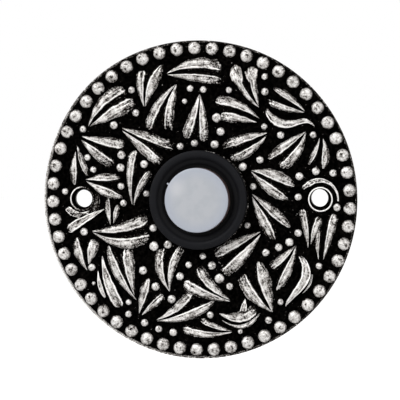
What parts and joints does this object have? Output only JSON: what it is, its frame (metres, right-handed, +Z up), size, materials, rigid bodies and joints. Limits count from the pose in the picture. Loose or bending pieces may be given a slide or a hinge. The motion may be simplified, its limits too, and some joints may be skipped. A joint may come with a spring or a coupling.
{
  "type": "doorbell push button",
  "caption": "Round cast doorbell plate with raised leaves, a pearl border, two ringed screw holes and a sprung lighted push in a black bezel.",
  "frame": {"origin": "centre of the plate in the wall plane, midway between the two screw holes", "axes": "+X right, +Z up as it hangs on the wall, face towards -Y, wall at y = 0"},
  "size_m": [0.0792, 0.0259, 0.0792],
  "materials": {
    "plate_metal": "cast, silver-plated and blackened in the ground, raised parts rubbed bright, pitted",
    "black_plastic": "moulded, satin to matte",
    "white_plastic": "moulded translucent white, soft gloss",
    "spring_steel": "bright drawn wire and strip",
    "contact_brass": "stamped, lightly tarnished",
    "screw_metal": "nickel-plated",
    "base_plastic": "moulded phenolic, dark brown",
    "lamp_glass": "clear"
  },
  "bodies": {
    "plate_unit": {"face_plate": "plate_metal", "bezel": "black_plastic", "retaining_clip": "spring_steel", "return_spring": "spring_steel", "terminal_base": "base_plastic", "contact_strip_left": "contact_brass", "contact_strip_right": "contact_brass", "contact_tip_left": "contact_brass", "contact_tip_right": "contact_brass", "terminal_washer_left": "screw_metal", "terminal_washer_right": "screw_metal", "terminal_screw_left": "screw_metal", "terminal_screw_right": "screw_metal", "lamp": "lamp_glass", "lamp_ferrule": "contact_brass", "lamp_lead_left": "contact_brass", "lamp_lead_right": "contact_brass"},
    "push_cap": {"cap": "white_plastic", "contact_ring": "contact_brass"}
  },
  "joints": [
    {"name": "button_press", "type": "slide", "parent": "plate_unit", "child": "push_cap", "axis": [0, 1, 0], "range_m": [0, 0.0015], "stiffness_N_per_m": 400, "springref_m": -0.003, "deforming": ["return_spring"]}
  ]
}
